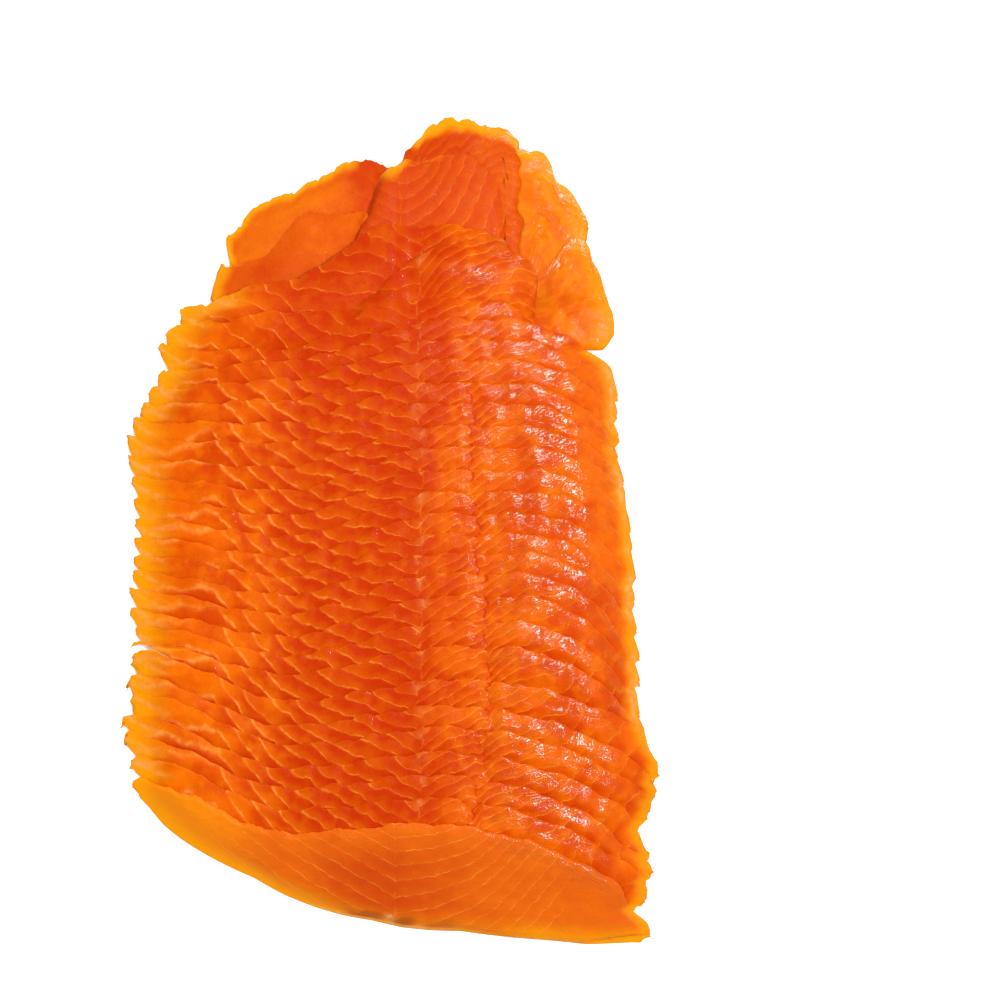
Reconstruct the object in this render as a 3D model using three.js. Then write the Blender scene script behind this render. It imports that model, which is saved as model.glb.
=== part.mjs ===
// Side of cold-smoked salmon, cut into thin slices that lie fanned in the shape of the fish side
// Millimetres, +Z up, the side rests on its flat under face at z = 0
// +Y is the tail end, -Y is the wide front end, the thin belly lies towards -X
import * as THREE from "three";

// Stack of slices: one layer is one slice with the thin gap above it
const FRONT_LAYER = 28;
const LAYER_HEIGHT = 2.9;
const SLICE_GAP = 0.3;
const TAIL_THINNING = 0.2;
const EDGE_THICKNESS = 0.6;
const FIRST_REGULAR_LAYER = 6;
const LAST_TAIL_LAYER = 8;
const LAST_FLAT_LAYER = 2;
const LOWER_MARGIN = 0.2;
const FLAT_MARGIN = 0.45;
const LEAF_BEND_LAYERS = 0.7;
const LEAF_BEND_LEFT = -60;
const LEAF_BEND_RIGHT = -35;

// Plan of the side
const SIDE_LEFT = -102.6;
const SIDE_WIDTH = 205.6;
const FRONT_CORNER_Y = -101.5;
const FRONT_BELLY_DROP = 57;
const FRONT_BACK_DROP = 6;
const FRONT_BEND = 0.85;
const FRONT_ROUNDNESS = 2.8;
const CENTRE_X = -0.5;
const CENTRE_Y = -0.3;
const PITCH_BELLY = 7.3;
const PITCH_FANNED_OUT = 2.3;
const PITCH_FAN_START = -100;
const PITCH_FAN_END = 80;
const TAIL_INSET = 42;
const TAIL_INSET_START = 35;
const TAIL_INSET_END = 125;
const TAIL_INSET_INNER = -60;
const TAIL_INSET_OUTER = 40;
const TAIL_MIDDLE_LEFT = 0;
const TAIL_MIDDLE_RIGHT = 52;
const TAIL_MIDDLE_BLEND = 8;
const BACK_LIFT = 0.9;
const BACK_LIFT_LOW_Y = 78;
const BACK_LIFT_HIGH_Y = 96;
const BACK_LIFT_LEFT = 46;
const BACK_LIFT_RIGHT = 60;

// Shape of an upper slice edge, as parts of its width
const TIP_SHARE = 0.3;
const RISE_HALF_WIDTH = 0.16;
const FALL_REACH = 0.97;

// Small unevenness of the slice edges
const EDGE_WAVE = 0.9;
const EDGE_WAVE_LENGTH = 26;
const LEVEL_WANDER = 0.7;
const TIP_WANDER = 2.2;
const TIP_LENGTH = 2.4;
const TIP_BLEND = 7;
const SHORTEST_BAND = 1.4;
const RIDGE_SHARE = 0.3;
const END_MARGIN = 2.2;

// Torn line left by the pulled pin bones
const TEAR_FIRST_LAYER = 9;
const TEAR_LAST_LAYER = 27;
const TEAR_DEPTH = 2.6;
const TEAR_HALF_WIDTH = 5;
const TEAR_TAIL_X = 31;
const TEAR_MIDDLE_X = 40;
const TEAR_FRONT_X = 33;
const TEAR_MIDDLE_LAYER = 23;

// Open notch at the belly edge
const NOTCH_LAST_LAYER = 21;
const NOTCH_TIP_Y = -42;
const NOTCH_SLOPE = 0.57;
const NOTCH_INNER_X = -86;

// Front slice, whose whole cut face shows
const FACE_ROWS = [0, 0.07, 0.3, 0.7, 0.93, 1];
const FACE_THICKNESS = [0.6, 2.0, 2.6, 2.6, 2.1, 0.8];

// Plan lines, closer together where the slices bend
const STATIONS = [
  -103, -98, -93, -86, -78, -68, -56, -44, -32, -20, -8, 0, 8, 20, 30, 34, 38, 44, 52, 60, 66, 73,
  80, 86, 91, 95, 99, 103,
];

// Cross lines of the tail slices, where their undersides bend
const TAIL_LINES = [114, 100, 93, 86, 79, 72, 58, 44, 30];
const LEAST_ROW = 0.2;

// Colours of the flesh
const FLESH_COLOUR = 0xee6a14;
const TAIL_COLOUR = 0xf48a1c;
const FACE_COLOUR = 0xf27624;
const FLESH_ROUGHNESS = 0.42;

// Pieces of the tail, from the board upwards
// Edge numbers: level, extra height of the left tip, rise towards the back, place of the rise,
// start of the fall at the right end, depth of that fall
const TAIL_PIECES = [
  { name: "tail_flap", layer: 0, left: -64.5, right: 0.2, edge: [135, -20, 12, 0.46, 0.8, 2] },
  { name: "tail_end", layer: 0, left: 0.6, right: 53.9, edge: [162, -17, 2, 0.46, 0.5, 10] },
  { name: "tail_trim", layer: 0, left: 54.2, right: 80.6, edge: [152, 1, -13, 0.46, 0.5, 17] },
  { name: "tail_leaf", layer: 1, left: -67.4, right: -4, edge: [110, -6, 17, 0.4, 0.8, 2] },
  { name: "tail_fold", layer: 1, left: 60.2, right: 88.6, edge: [109, -11, 8.5, 0.35, 0.55, 36] },
  { name: "tail_face", layer: 2, left: -20.2, right: 46.2, edge: [145, -36, 5, 0.46, 0.72, 28] },
  { name: "slice_03", layer: 3, left: -80.2, right: 49.8, edge: [100, -13, 22, 0.46, 0.8, 16] },
  { name: "slice_04", layer: 4, left: -85.8, right: 58.6, edge: [87, -7, 28, 0.6, 0.8, 16] },
  { name: "slice_05", layer: 5, left: -89, right: 53, edge: [72, 0, 20, 0.5, 0.85, 8] },
];
const TRIM_BOTTOM_Y = 101;
const TRIM_TONGUE_Y = 79;
const TRIM_TONGUE_LEFT = 54;
const TRIM_TONGUE_RIGHT = 59.5;
const FOLD_BOTTOM_Y = 72;

// Tail pieces with a cut end beside their neighbour
const BLUNT_LEFT = ["tail_end", "tail_trim"];
const BLUNT_RIGHT = ["tail_flap", "tail_end"];

// Key slices of the regular fan, the ones between are blended from them
const KEY_SLICES = [
  { layer: 6, left: -92.2, right: 88.6, edge: [68, -5, 16, 0.46, 0.75, 38] },
  { layer: 10, left: -102.6, right: 90.6, edge: [35, 2, 16, 0.46, 0.8, 39] },
  { layer: 13, left: -101, right: 95.8, edge: [6, 7, 18, 0.46, 0.8, 36] },
  { layer: 19, left: -102.6, right: 99, edge: [-42, 10, 16, 0.46, 0.78, 62] },
  { layer: 21, left: -100.2, right: 99.8, edge: [-57, 13, 11, 0.46, 0.72, 58] },
  { layer: 22, left: -102, right: 104.4, edge: [-69, 20, 9, 0.46, 0.62, 42] },
  { layer: 28, left: -102.2, right: 103, edge: [-121, 22, 5, 0.46, 0.5, 57] },
];

// Small number helpers
function clamp(value, low, high) {
  return Math.min(high, Math.max(low, value));
}

function blend(from, to, share) {
  return from + (to - from) * share;
}

function smooth(from, to, value) {
  const t = clamp((value - from) / (to - from), 0, 1);
  return t * t * (3 - 2 * t);
}

// Repeatable unevenness between -1 and 1
function wander(seed, channel) {
  const s = Math.sin(seed * 12.9898 + channel * 78.233) * 43758.5453;
  return 2 * (s - Math.floor(s)) - 1;
}

function wave(seed, x) {
  const phase = wander(seed, 5) * Math.PI;
  const long = Math.sin(x / EDGE_WAVE_LENGTH * 2 * Math.PI + phase);
  const short = Math.sin(x / EDGE_WAVE_LENGTH * 4.7 * Math.PI + 2.3 * phase);
  return EDGE_WAVE * (0.6 * long + 0.4 * short);
}

// Lower edge of the front slice, which is also the front outline of the side
function frontOutline(x) {
  const s = clamp((x - SIDE_LEFT) / SIDE_WIDTH, 0, 1);
  const belly = 1 - Math.pow(1 - Math.pow(s, FRONT_BEND), FRONT_ROUNDNESS);
  return FRONT_CORNER_Y - FRONT_BELLY_DROP * belly - FRONT_BACK_DROP * s;
}

// Distance between neighbouring slices, wider at the back of the fish than at the belly
function pitch(x) {
  return PITCH_BELLY + PITCH_FANNED_OUT * smooth(PITCH_FAN_START, PITCH_FAN_END, x);
}

// Number of layers that lie under the front slice at a place, minus the layer of the front slice
function layersAt(x, y) {
  const innerShare = 1 - smooth(TAIL_INSET_INNER, TAIL_INSET_OUTER, x);
  const shifted = x - TAIL_INSET * smooth(TAIL_INSET_START, TAIL_INSET_END, y) * innerShare;
  const backY = smooth(BACK_LIFT_LOW_Y, BACK_LIFT_HIGH_Y, y);
  const backX = smooth(BACK_LIFT_LEFT, BACK_LIFT_RIGHT, x);
  return (y - frontOutline(shifted)) / pitch(shifted) - FRONT_LAYER + BACK_LIFT * backX * backY;
}

// The tail has one layer less in its middle than at its sides
function tailLimit(x) {
  const leftSide = smooth(TAIL_MIDDLE_LEFT, TAIL_MIDDLE_LEFT + TAIL_MIDDLE_BLEND, x);
  const rightSide = smooth(TAIL_MIDDLE_RIGHT, TAIL_MIDDLE_RIGHT + TAIL_MIDDLE_BLEND, x);
  return rightSide - leftSide;
}

function undersideHeight(layer, x, y) {
  return LAYER_HEIGHT * Math.max(0, Math.min(layersAt(x, y), tailLimit(x)) + layer);
}

// Upper edge of a slice in plan
function tearDepth(slice, x) {
  if (slice.layer < TEAR_FIRST_LAYER || slice.layer > TEAR_LAST_LAYER) {
    return 0;
  }
  const tail = clamp((slice.layer - TEAR_FIRST_LAYER) / (TEAR_MIDDLE_LAYER - TEAR_FIRST_LAYER), 0, 1);
  const front = clamp((slice.layer - TEAR_MIDDLE_LAYER) / (TEAR_LAST_LAYER - TEAR_MIDDLE_LAYER), 0, 1);
  const tearX = blend(blend(TEAR_TAIL_X, TEAR_MIDDLE_X, tail), TEAR_FRONT_X, front);
  return TEAR_DEPTH * Math.max(0, 1 - Math.abs(x - tearX) / TEAR_HALF_WIDTH);
}

function edgeY(slice, x) {
  const [level, tip, rise, risePlace, fallStart, fall] = slice.edge;
  const s = clamp((x - slice.left) / (slice.right - slice.left), 0, 1);
  const t = clamp((s - fallStart) / (1 - fallStart), 0, 1);
  const tipPart = tip * (1 - smooth(0, TIP_SHARE, s));
  const risePart = rise * smooth(risePlace - RISE_HALF_WIDTH, risePlace + RISE_HALF_WIDTH, s);
  const fallPart = fall * (1 - Math.sqrt(1 - (FALL_REACH * t) ** 2));
  return level + tipPart + risePart - fallPart + wave(slice.seed, x) - tearDepth(slice, x);
}

// Place where a given number of layers is reached, which is where that slice ends below
function layerEndY(layer, x) {
  let y = frontOutline(x) + pitch(x) * (FRONT_LAYER - layer);
  for (let step = 0; step < 12; step += 1) {
    y -= (layersAt(x, y) + layer) * pitch(x) * 0.8;
  }
  return y;
}

function lastLayerAt(slice, x) {
  if (slice.layer === FRONT_LAYER) {
    return slice.layer;
  }
  if (slice.layer > LAST_FLAT_LAYER) {
    return slice.layer - LOWER_MARGIN;
  }
  const flat = -tailLimit(x) - FLAT_MARGIN;
  if (slice.name === "tail_leaf") {
    return blend(LEAF_BEND_LAYERS, flat, smooth(LEAF_BEND_LEFT, LEAF_BEND_RIGHT, x));
  }
  return flat;
}

function bottomY(slice, x) {
  let y = layerEndY(lastLayerAt(slice, x), x);
  if (slice.name === "tail_trim") {
    y = blend(TRIM_TONGUE_Y, TRIM_BOTTOM_Y, smooth(TRIM_TONGUE_LEFT, TRIM_TONGUE_RIGHT, x));
  }
  if (slice.name === "tail_fold") {
    y = FOLD_BOTTOM_Y;
  }
  if (slice.layer <= NOTCH_LAST_LAYER && x < NOTCH_INNER_X) {
    y = Math.max(y, NOTCH_TIP_Y - NOTCH_SLOPE * (x - SIDE_LEFT));
  }
  const top = edgeY(slice, x);
  const leftEnd = BLUNT_LEFT.includes(slice.name) ? TIP_BLEND : x - slice.left;
  const rightEnd = BLUNT_RIGHT.includes(slice.name) ? TIP_BLEND : slice.right - x;
  const end = Math.min(leftEnd, rightEnd);
  const full = Math.max(SHORTEST_BAND, top - y);
  const share = Math.sqrt(clamp(end / TIP_BLEND, 0, 1));
  return top - blend(Math.min(TIP_LENGTH, full), full, share);
}

// All slices from the board upwards
function regularSlice(layer) {
  const after = KEY_SLICES.find((key) => key.layer >= layer);
  const before = KEY_SLICES.filter((key) => key.layer <= layer).pop();
  const share = after === before ? 0 : (layer - before.layer) / (after.layer - before.layer);
  return {
    name: "slice_" + String(layer).padStart(2, "0"),
    layer,
    left: blend(before.left, after.left, share),
    right: blend(before.right, after.right, share),
    edge: before.edge.map((value, index) => blend(value, after.edge[index], share)),
  };
}

function makeSlices() {
  const slices = TAIL_PIECES.map((piece) => ({ ...piece, edge: [...piece.edge] }));
  for (let layer = FIRST_REGULAR_LAYER; layer <= FRONT_LAYER; layer += 1) {
    slices.push(regularSlice(layer));
  }
  slices.forEach((slice, index) => {
    slice.seed = index + 1;
    if (slice.layer > FIRST_REGULAR_LAYER && slice.layer < FRONT_LAYER) {
      slice.left += TIP_WANDER * wander(slice.seed, 1);
      slice.right += 0.5 * TIP_WANDER * (wander(slice.seed, 2) - 1);
      slice.edge[0] += LEVEL_WANDER * wander(slice.seed, 3);
    }
  });
  return slices;
}

// Row heights of one slice at one plan line
function coverY(slice, slices, x) {
  const top = edgeY(slice, x);
  let cover = -Infinity;
  for (const other of slices) {
    if (other.layer > slice.layer && x > other.left && x < other.right) {
      cover = Math.max(cover, edgeY(other, x));
    }
  }
  return cover === -Infinity ? top - pitch(x) : cover;
}

function tailLines(slice, slices) {
  if (slice.layer > LAST_TAIL_LAYER) {
    return [];
  }
  const places = STATIONS.filter((x) => x > slice.left && x < slice.right);
  const highest = Math.max(...places.map((x) => edgeY(slice, x)));
  const lowest = Math.min(...places.map((x) => bottomY(slice, x)));
  return TAIL_LINES.filter((y) => y < highest - 1 && y > lowest + 0.5);
}

// Rows from the upper edge down to the lower edge, a little apart everywhere
function spreadRows(rows, top, bottom) {
  const sorted = [...rows].sort((a, b) => b - a);
  const least = Math.min(LEAST_ROW, (top - bottom) / (rows.length + 2));
  let limit = top;
  const spread = sorted.map((y) => {
    limit = Math.min(y, limit - least);
    return limit;
  });
  limit = bottom;
  for (let r = spread.length - 1; r >= 0; r -= 1) {
    limit = Math.max(spread[r], limit + least);
    spread[r] = limit;
  }
  return [top, ...spread, bottom];
}

function column(slice, slices, lines, x) {
  const top = edgeY(slice, x);
  const bottom = bottomY(slice, x);
  const full = top - bottom;
  const under = (y) => undersideHeight(slice.layer, x, y);
  if (slice.layer === FRONT_LAYER) {
    const upper = FACE_ROWS.map((share, index) => {
      const y = top - share * full;
      return [y, under(y) + FACE_THICKNESS[index]];
    });
    return { x, upper, lower: [[top, under(top)], [bottom, under(bottom)]] };
  }
  const thinning = slice.layer > LAST_TAIL_LAYER ? 0 : TAIL_THINNING;
  const thick = LAYER_HEIGHT - SLICE_GAP - thinning;
  const longest = 0.7 * full;
  const band = clamp(top - coverY(slice, slices, x), Math.min(SHORTEST_BAND, longest), longest);
  const upperRows = spreadRows([top - RIDGE_SHARE * band, top - band, ...lines], top, bottom);
  const upper = upperRows.map((y) => {
    const rise = clamp((top - y) / (RIDGE_SHARE * band), 0, 1);
    return [y, under(y) + blend(EDGE_THICKNESS, thick, rise)];
  });
  const lower = spreadRows(lines, top, bottom).map((y) => [y, under(y)]);
  return { x, upper, lower };
}

// Closed body of one slice
function addRows(points, faces, columns, key, flip) {
  const rows = columns[0][key].length;
  const start = points.length;
  for (const col of columns) {
    for (const [y, z] of col[key]) {
      points.push([col.x - CENTRE_X, y - CENTRE_Y, z]);
    }
  }
  for (let c = 0; c + 1 < columns.length; c += 1) {
    for (let r = 0; r + 1 < rows; r += 1) {
      const a = start + c * rows + r;
      const b = a + 1;
      const d = a + rows;
      const e = d + 1;
      addQuad(faces, a, b, e, d, flip);
    }
  }
  return { start, rows };
}

function addQuad(faces, a, b, c, d, flip) {
  if (flip) {
    faces.push([a, c, b], [a, d, c]);
  } else {
    faces.push([a, b, c], [a, c, d]);
  }
}

function addEnd(points, faces, upper, lower, columnIndex, flip) {
  let u = upper.start + columnIndex * upper.rows;
  let l = lower.start + columnIndex * lower.rows;
  const uLast = u + upper.rows - 1;
  const lLast = l + lower.rows - 1;
  while (u < uLast || l < lLast) {
    const upperNext = l === lLast || (u < uLast && points[u + 1][1] >= points[l + 1][1]);
    const next = upperNext ? u + 1 : l + 1;
    faces.push(flip ? [u, l, next] : [u, next, l]);
    if (upperNext) {
      u = next;
    } else {
      l = next;
    }
  }
}

function sliceGeometry(slice, slices) {
  const inner = STATIONS.filter((x) => x > slice.left + END_MARGIN && x < slice.right - END_MARGIN);
  const places = [slice.left + 0.05, ...inner, slice.right - 0.05];
  const lines = tailLines(slice, slices);
  const columns = places.map((x) => column(slice, slices, lines, x));
  const points = [];
  const faces = [];
  const upper = addRows(points, faces, columns, "upper", false);
  const lower = addRows(points, faces, columns, "lower", true);
  const last = columns.length - 1;
  for (let c = 0; c < last; c += 1) {
    const u = upper.start + c * upper.rows;
    const l = lower.start + c * lower.rows;
    const uEnd = u + upper.rows - 1;
    const lEnd = l + lower.rows - 1;
    addQuad(faces, u, u + upper.rows, l + lower.rows, l, false);
    addQuad(faces, uEnd, uEnd + upper.rows, lEnd + lower.rows, lEnd, true);
  }
  addEnd(points, faces, upper, lower, 0, true);
  addEnd(points, faces, upper, lower, last, false);
  const geometry = new THREE.BufferGeometry();
  geometry.setAttribute("position", new THREE.Float32BufferAttribute(points.flat(), 3));
  geometry.setIndex(faces.flat());
  geometry.computeVertexNormals();
  return geometry;
}

// Materials
function fleshMaterial(colour) {
  return new THREE.MeshStandardMaterial({ color: colour, roughness: FLESH_ROUGHNESS, metalness: 0 });
}

function materialFor(slice) {
  if (slice.layer === FRONT_LAYER) {
    return fleshMaterial(FACE_COLOUR);
  }
  return fleshMaterial(slice.layer < 2 ? TAIL_COLOUR : FLESH_COLOUR);
}

// The side of salmon
const side = new THREE.Group();
side.name = "smoked_salmon_side";
const slices = makeSlices();
for (const slice of slices) {
  const mesh = new THREE.Mesh(sliceGeometry(slice, slices), materialFor(slice));
  mesh.name = slice.name;
  side.add(mesh);
}

export default side;
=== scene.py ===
"""A side of cold-smoked salmon, cut into thin slices that lie fanned in the shape of the side."""

import math

import bmesh
import bpy
import numpy as np
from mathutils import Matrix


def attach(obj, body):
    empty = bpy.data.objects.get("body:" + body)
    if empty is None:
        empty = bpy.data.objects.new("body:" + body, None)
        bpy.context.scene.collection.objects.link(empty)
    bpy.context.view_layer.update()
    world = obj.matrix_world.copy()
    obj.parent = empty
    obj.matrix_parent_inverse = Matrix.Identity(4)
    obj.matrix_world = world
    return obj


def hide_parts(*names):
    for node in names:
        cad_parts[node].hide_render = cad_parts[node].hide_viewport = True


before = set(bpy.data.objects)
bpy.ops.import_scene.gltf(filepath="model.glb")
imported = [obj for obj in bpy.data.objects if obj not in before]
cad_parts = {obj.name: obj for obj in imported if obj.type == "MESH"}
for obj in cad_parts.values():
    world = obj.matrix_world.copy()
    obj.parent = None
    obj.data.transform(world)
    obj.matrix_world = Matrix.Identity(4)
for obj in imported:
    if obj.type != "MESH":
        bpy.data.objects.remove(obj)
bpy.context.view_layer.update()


# The knife cuts through the side
# A trimmed side of salmon is sliced on the slant, and each slice is laid over the last one, from the
# tail to the front. One height field carries them all, so that none cross. Sizes are millimetres.
LAYER_HEIGHT = 2.9
SIDE_LEFT = -102.6
SIDE_WIDTH = 205.6
PLAN_CENTRE = (-0.5, -0.3)

# Layers count from the tail: the first of the loin, the first of the thick back, the front slice,
# and those that the pin bones were pulled from
FIRST_LOIN_LAYER = 3
THICK_LAYER = 20
FRONT_LAYER = 28
TORN_LAYERS = range(9, 28)


def ease(low, high, value):
    """Smooth step from 0 at one value to 1 at another."""
    t = np.clip((np.asarray(value, float) - low) / (high - low), 0, 1)
    return t * t * (3 - 2 * t)


def blend(a, b, share):
    """Mix of two values, with this share of the second."""
    return a + (b - a) * share


def wander(seed, channel):
    """Repeatable number from -1 to 1 for one slice and one purpose."""
    s = math.sin(seed * 12.9898 + channel * 78.233) * 43758.5453
    return 2 * (s - math.floor(s)) - 1


def front_outline(x):
    """Front edge of the side in plan, from the belly on the left to the back on the right."""
    s = np.clip((x - SIDE_LEFT) / SIDE_WIDTH, 0, 1)
    return -101.5 - 57 * (1 - (1 - s**0.85) ** 2.8) - 6 * s


def pitch(x):
    """How far each slice steps back from the one on top of it."""
    return 7.3 + 2.3 * ease(-100, 80, x)


def layers_at(x, y):
    """How many layers above the table layer 0 would lie here, and below 0 towards the front."""
    shifted = x - 42 * ease(35, 125, y) * (1 - ease(-60, 40, x))
    back = 0.9 * ease(46, 60, x) * ease(78, 96, y)
    return (y - front_outline(shifted)) / pitch(shifted) - FRONT_LAYER + back


def tail_limit(x):
    """The most that layers_at may be: layer 1 is missing in the middle, so what is above sinks."""
    return ease(52, 60, x) - ease(0, 8, x)


def underside(layer, x, y):
    """Height of a slice's lower face over the table."""
    return LAYER_HEIGHT * np.maximum(0, np.minimum(layers_at(x, y), tail_limit(x)) + layer)


# Each cut: name, layer, left end, right end, then its upper edge as level, extra height of the
# belly tip, rise towards the back, place of that rise, start of the fall at the end, depth of it
CUTS = [
    ("tail_flap", 0, -64.5, 0.2, (135, -20, 12, 0.46, 0.8, 2)),
    ("tail_end", 0, 0.6, 53.9, (162, -17, 2, 0.46, 0.5, 10)),
    ("tail_trim", 0, 54.2, 80.6, (152, 1, -13, 0.46, 0.5, 17)),
    ("tail_leaf", 1, -67.4, -4, (110, -6, 17, 0.4, 0.8, 2)),
    ("tail_fold", 1, 60.2, 88.6, (109, -6, 8.5, 0.35, 0.55, 36)),
    ("tail_face", 2, -20.2, 46.2, (145, -36, 5, 0.46, 0.72, 28)),
    ("slice_03", 3, -80.2, 49.8, (100, -13, 22, 0.46, 0.8, 16)),
    ("slice_04", 4, -85.8, 58.6, (87, -7, 28, 0.6, 0.8, 16)),
    ("slice_05", 5, -89, 53, (72, 0, 20, 0.5, 0.85, 8)),
]
# The regular slices: layer, left end, right end and upper edge of a few of them. Between these the
# ends and edges change evenly.
KEY_CUTS = [
    (6, -92.2, 88.6, (68, -5, 16, 0.46, 0.75, 38)),
    (10, -102.6, 90.6, (35, 2, 16, 0.46, 0.8, 39)),
    (13, -101, 95.8, (6, 7, 18, 0.46, 0.8, 36)),
    (19, -102.6, 99, (-42, 10, 16, 0.46, 0.78, 62)),
    (21, -100.2, 99.8, (-57, 13, 11, 0.46, 0.72, 58)),
    (22, -102, 104.4, (-69, 20, 9, 0.46, 0.62, 42)),
    (28, -102.2, 103, (-121, 22, 5, 0.46, 0.5, 57)),
]
for layer in range(6, FRONT_LAYER + 1):
    after = next(key for key in KEY_CUTS if key[0] >= layer)
    before = [key for key in KEY_CUTS if key[0] <= layer][-1]
    share = 0 if after is before else (layer - before[0]) / (after[0] - before[0])
    edge = tuple(blend(a, b, share) for a, b in zip(before[3], after[3]))
    ends = [blend(before[n], after[n], share) for n in (1, 2)]
    CUTS.append((f"slice_{layer:02d}", layer, *ends, edge))

cuts = []
for number, (name, layer, left, right, edge) in enumerate(CUTS, start=1):
    if 6 < layer < FRONT_LAYER:
        left += (2.0 if layer >= THICK_LAYER else 0.5) * wander(number, 1)
        right += 1.1 * (wander(number, 2) - 1)
        edge = (edge[0] + 0.7 * wander(number, 3), *edge[1:])
    cuts.append({"name": name, "layer": layer, "left": left, "right": right, "edge": edge, "seed": number})


def ripple(x, length, seed):
    """Smooth repeatable unevenness along one line, about -1 to 1."""
    turns = 2 * math.pi / length
    parts = [
        weight * np.sin(x * turns * speed + 6.3 * wander(seed, channel))
        for channel, (weight, speed) in enumerate([(0.5, 1.0), (0.3, 1.73), (0.2, 2.9)])
    ]
    return sum(parts)


def tear_place(cut, y):
    """Where the pulled pin bones left their torn line in this slice."""
    layer = cut["layer"]
    tail = min(1, max(0, (layer - 9) / 14))
    front = min(1, max(0, (layer - 23) / 4))
    middle = blend(blend(31, 40, tail), 33, front)
    return middle + 1.6 * wander(cut["seed"], 9) + 1.5 * ripple(y, 8, cut["seed"] + 3)


# Seams between the muscle blocks, counted outwards from the lateral line: towards the belly they
# stand 11 mm apart, towards the back first 9 and then 6 mm. Deeper in a slice they run inwards.
LATERAL = 11.8
BELLY_FOLD = 81.0


def lateral_line(cut):
    """Where the line along the middle of the fish's side crosses this slice."""
    if cut["name"] == "slice_28":
        return 1.6
    if cut["name"] == "tail_face":
        return 4.0
    return LATERAL + 1.2 * wander(cut["seed"], 8)


def base_edge(cut, x):
    """Upper edge of a slice in plan, without its teeth."""
    level, tip, rise, place, fall_start, fall = cut["edge"]
    s = np.clip((x - cut["left"]) / (cut["right"] - cut["left"]), 0, 1)
    t = np.clip((s - fall_start) / (1 - fall_start), 0, 1)
    y = level + tip * (1 - ease(0, 0.3, s)) + rise * ease(place - 0.16, place + 0.16, s)
    y = y - fall * (1 - np.sqrt(1 - (0.97 * t) ** 2))
    phase = wander(cut["seed"], 5) * math.pi
    turn = x / 26 * math.pi
    y = y + 0.9 * (0.6 * np.sin(2 * turn + phase) + 0.4 * np.sin(4.7 * turn + 2.3 * phase))
    if cut["layer"] in TORN_LAYERS:
        dip = 2.6 if cut["layer"] > THICK_LAYER else 0.7
        y = y - dip * np.maximum(0, 1 - np.abs(x - tear_place(cut, level)) / 4)
    return y


def seam_count(cut, x, depth):
    """Muscle blocks counted outwards from the lateral line: a whole number is a fat seam."""
    depth = np.asarray(depth, float)
    side = x - lateral_line(cut) - 0.6 * ripple(depth, 9, cut["seed"] + 5)
    out = np.abs(side)
    start = 0.27 * cut["layer"] + 0.16 * wander(cut["seed"], 7)
    if cut["name"] == "slice_28":
        down = depth - base_edge(cut, x) - 115
        belly = 0.098 * out + 0.00075 * np.maximum(0, out - 34) ** 2 + 0.178 * down
        back = np.interp(out, [0, 16, 30, 40, 60, 80, 110], [0, 0.28, 1.1, 2.6, 6.4, 10.2, 15.5])
        back = back + down * np.interp(out, [0, 30, 66, 80, 110], [0.178, 0.175, 0.13, 0.11, 0.08])
        return np.where(side < 0, belly, back) + start
    if cut["name"] == "tail_face":
        down = depth - base_edge(cut, x) + 134
        back = np.interp(out, [0, 5, 10, 60], [0, 0.3, 1.0, 8.8])
        back = back + down * np.interp(out, [0, 10, 18, 36], [0.18, 0.17, 0.1, 0.05])
        return np.where(side < 0, 0.1 * out + 0.18 * down, back) + start
    bent = depth * (0.45 + 0.55 * np.clip(depth / 7, 0, 1)) * (1 + 0.12 * wander(cut["seed"], 15))
    start = start + 0.14 * ripple(x, 31, cut["seed"] + 6)
    toward_belly = out / 10 + bent * np.interp(out, [0, 8, 48, 68, 82], [0.15, 0.15, 0.115, 0.09, 0.07])
    toward_back = np.interp(out, [0, 20, 40, 110], [0, 2.2, 5.2, 16.8])
    toward_back = toward_back + depth * np.interp(out, [0, 30, 46, 60, 100], [0.2, 0.26, 0.2, 0.08, 0.04])
    beyond = np.maximum(0, out - BELLY_FOLD)
    flank = BELLY_FOLD / 10 + 0.075 * depth - 0.02 * beyond
    toward_belly = np.where(out > BELLY_FOLD, flank, toward_belly)
    return np.where(side < 0, toward_belly, toward_back) + start


def cut_edge(cut, x):
    """Upper edge of a slice in plan, with the small teeth that the muscle blocks leave in it."""
    y = base_edge(cut, x)
    count = seam_count(cut, x, 0)
    block = count - np.floor(count)
    tooth = (1 - block) * ease(0, 0.24, block)
    side = x - lateral_line(cut)
    size = np.where(side < 0, (0.7 + 0.5 * ease(-55, -28, x)) * ease(3, 18, -side), 0.25 * ease(2, 12, side))
    if cut["layer"] < FIRST_LOIN_LAYER or cut["layer"] == FRONT_LAYER:
        size = size * 0.35
    ragged = 0.28 * ripple(x, 5.1, cut["seed"] + 40) + 0.16 * ripple(x, 2.3, cut["seed"] + 80)
    if cut["layer"] == 0:
        notches = ease(0.3, 0.6, ripple(x, 9, cut["seed"] + 51))
        ragged = ragged + 0.4 * ripple(x, 7, cut["seed"] + 50) - 0.9 * notches
    if cut["layer"] >= FIRST_LOIN_LAYER:
        corner = 3.2 + 1.6 * wander(cut["seed"], 10)
        if 8 < cut["layer"] <= THICK_LAYER:
            corner = 0.2 * corner
        near = np.clip(1 - (x - cut["left"]) / corner, 0, 1)
        ragged = ragged - 0.8 * corner * (1 - np.sqrt(1 - 0.98 * near**2))
    return y + size * (tooth - 0.4) + ragged


def layer_end(layer, x):
    """Where in plan a slice's lower face comes down to the table, found in a few steps."""
    y = front_outline(x) + pitch(x) * (FRONT_LAYER - layer)
    for _ in range(12):
        y = y - (layers_at(x, y) + layer) * pitch(x) * 0.8
    return y


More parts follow.
